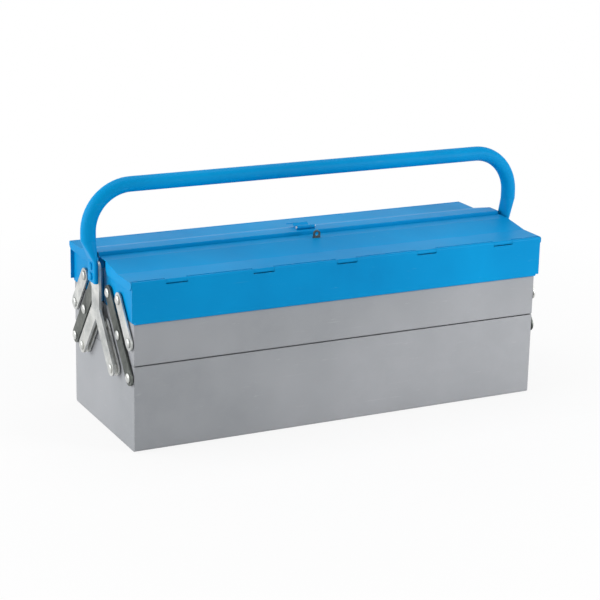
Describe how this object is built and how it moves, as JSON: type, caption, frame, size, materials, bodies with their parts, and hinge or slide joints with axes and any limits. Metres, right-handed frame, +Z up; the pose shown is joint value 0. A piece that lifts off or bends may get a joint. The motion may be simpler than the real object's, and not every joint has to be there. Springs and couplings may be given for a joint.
{
  "type": "cantilever tool box",
  "caption": "Steel tool box with a deep base and stacked trays that swing apart on pivoted arms, hinged lids, a padlock eye and one fixed tube handle.",
  "frame": {"origin": "on the ground under the middle of the closed box, at the centre of its bounding box", "axes": "+X along the box to the right end, +Y to the rear, +Z up; the front side faces -Y"},
  "size_m": [0.584, 0.2, 0.2985],
  "materials": {
    "blue_enamel": "semi-gloss stoved enamel",
    "grey_enamel": "satin stoved enamel",
    "zinc_plate": "bright zinc plate",
    "dark_steel": "darkened steel"
  },
  "bodies": {
    "base": {"base_shell": "grey_enamel", "base_end_left": "grey_enamel", "base_end_right": "grey_enamel", "base_pivot_rivets": "zinc_plate", "handle": "blue_enamel", "handle_bracket_left": "zinc_plate", "handle_bracket_right": "zinc_plate", "handle_rivets": "blue_enamel"},
    "front_long_arms": {"front_long_arm_left": "dark_steel", "front_long_arm_right": "dark_steel"},
    "front_lower_arms": {"front_lower_arm_left": "zinc_plate", "front_lower_arm_right": "zinc_plate"},
    "front_upper_arms": {"front_upper_arm_left": "zinc_plate", "front_upper_arm_right": "zinc_plate"},
    "front_mid_tray": {"front_mid_shell": "grey_enamel", "front_mid_end_left": "grey_enamel", "front_mid_end_right": "grey_enamel", "front_mid_divider": "grey_enamel", "front_mid_rivets": "zinc_plate"},
    "front_top_tray": {"front_top_shell": "blue_enamel", "front_top_end_left": "blue_enamel", "front_top_end_right": "blue_enamel", "front_top_dividers": "blue_enamel", "front_top_rivets": "zinc_plate", "front_hinge_wire": "zinc_plate"},
    "front_lid": {"front_lid": "blue_enamel", "padlock_eye": "dark_steel"},
    "rear_long_arms": {"rear_long_arm_left": "dark_steel", "rear_long_arm_right": "dark_steel"},
    "rear_lower_arms": {"rear_lower_arm_left": "zinc_plate", "rear_lower_arm_right": "zinc_plate"},
    "rear_upper_arms": {"rear_upper_arm_left": "zinc_plate", "rear_upper_arm_right": "zinc_plate"},
    "rear_mid_tray": {"rear_mid_shell": "grey_enamel", "rear_mid_end_left": "grey_enamel", "rear_mid_end_right": "grey_enamel", "rear_mid_divider": "grey_enamel", "rear_mid_rivets": "zinc_plate"},
    "rear_top_tray": {"rear_top_shell": "blue_enamel", "rear_top_end_left": "blue_enamel", "rear_top_end_right": "blue_enamel", "rear_top_dividers": "blue_enamel", "rear_top_rivets": "zinc_plate", "rear_hinge_wire": "zinc_plate"},
    "rear_lid": {"rear_lid": "blue_enamel", "hasp_leaf": "blue_enamel", "hasp_pin": "zinc_plate"},
    "hasp": {"hasp": "blue_enamel"}
  },
  "joints": [
    {"name": "front_swing", "type": "hinge", "parent": "base", "child": "front_long_arms", "pos_m": [0, -0.087, 0.087], "axis": [1, 0, 0], "range_deg": [0, 75]},
    {"name": "front_lower_arm_swing", "type": "hinge", "parent": "base", "child": "front_lower_arms", "pos_m": [0, -0.047, 0.087], "axis": [1, 0, 0], "range_deg": [0, 75]},
    {"name": "front_mid_level", "type": "hinge", "parent": "front_long_arms", "child": "front_mid_tray", "pos_m": [0, -0.055, 0.1285], "axis": [-1, 0, 0], "range_deg": [0, 75]},
    {"name": "front_top_level", "type": "hinge", "parent": "front_long_arms", "child": "front_top_tray", "pos_m": [0, -0.023, 0.17], "axis": [-1, 0, 0], "range_deg": [0, 75]},
    {"name": "front_upper_arm_swing", "type": "hinge", "parent": "front_mid_tray", "child": "front_upper_arms", "pos_m": [0, -0.087, 0.1285], "axis": [1, 0, 0], "range_deg": [0, 75]},
    {"name": "front_lid_hinge", "type": "hinge", "parent": "front_top_tray", "child": "front_lid", "pos_m": [0, -0.0974, 0.1994], "axis": [1, 0, 0], "range_deg": [0, 180]},
    {"name": "rear_swing", "type": "hinge", "parent": "base", "child": "rear_long_arms", "pos_m": [0, 0.087, 0.087], "axis": [-1, 0, 0], "range_deg": [0, 75]},
    {"name": "rear_lower_arm_swing", "type": "hinge", "parent": "base", "child": "rear_lower_arms", "pos_m": [0, 0.047, 0.087], "axis": [-1, 0, 0], "range_deg": [0, 75]},
    {"name": "rear_mid_level", "type": "hinge", "parent": "rear_long_arms", "child": "rear_mid_tray", "pos_m": [0, 0.055, 0.1285], "axis": [1, 0, 0], "range_deg": [0, 75]},
    {"name": "rear_top_level", "type": "hinge", "parent": "rear_long_arms", "child": "rear_top_tray", "pos_m": [0, 0.023, 0.17], "axis": [1, 0, 0], "range_deg": [0, 75]},
    {"name": "rear_upper_arm_swing", "type": "hinge", "parent": "rear_mid_tray", "child": "rear_upper_arms", "pos_m": [0, 0.087, 0.1285], "axis": [-1, 0, 0], "range_deg": [0, 75]},
    {"name": "rear_lid_hinge", "type": "hinge", "parent": "rear_top_tray", "child": "rear_lid", "pos_m": [0, 0.0974, 0.1994], "axis": [-1, 0, 0], "range_deg": [0, 180]},
    {"name": "hasp_hinge", "type": "hinge", "parent": "rear_lid", "child": "hasp", "pos_m": [0, 0.01, 0.2145], "axis": [1, 0, 0], "range_deg": [0, 195]}
  ],
  "couplings": [
    {"joint": "front_lower_arm_swing", "follows": "front_swing", "ratio": 1},
    {"joint": "front_mid_level", "follows": "front_swing", "ratio": 1},
    {"joint": "front_top_level", "follows": "front_swing", "ratio": 1},
    {"joint": "front_upper_arm_swing", "follows": "front_swing", "ratio": 1},
    {"joint": "rear_lower_arm_swing", "follows": "rear_swing", "ratio": 1},
    {"joint": "rear_mid_level", "follows": "rear_swing", "ratio": 1},
    {"joint": "rear_top_level", "follows": "rear_swing", "ratio": 1},
    {"joint": "rear_upper_arm_swing", "follows": "rear_swing", "ratio": 1}
  ]
}
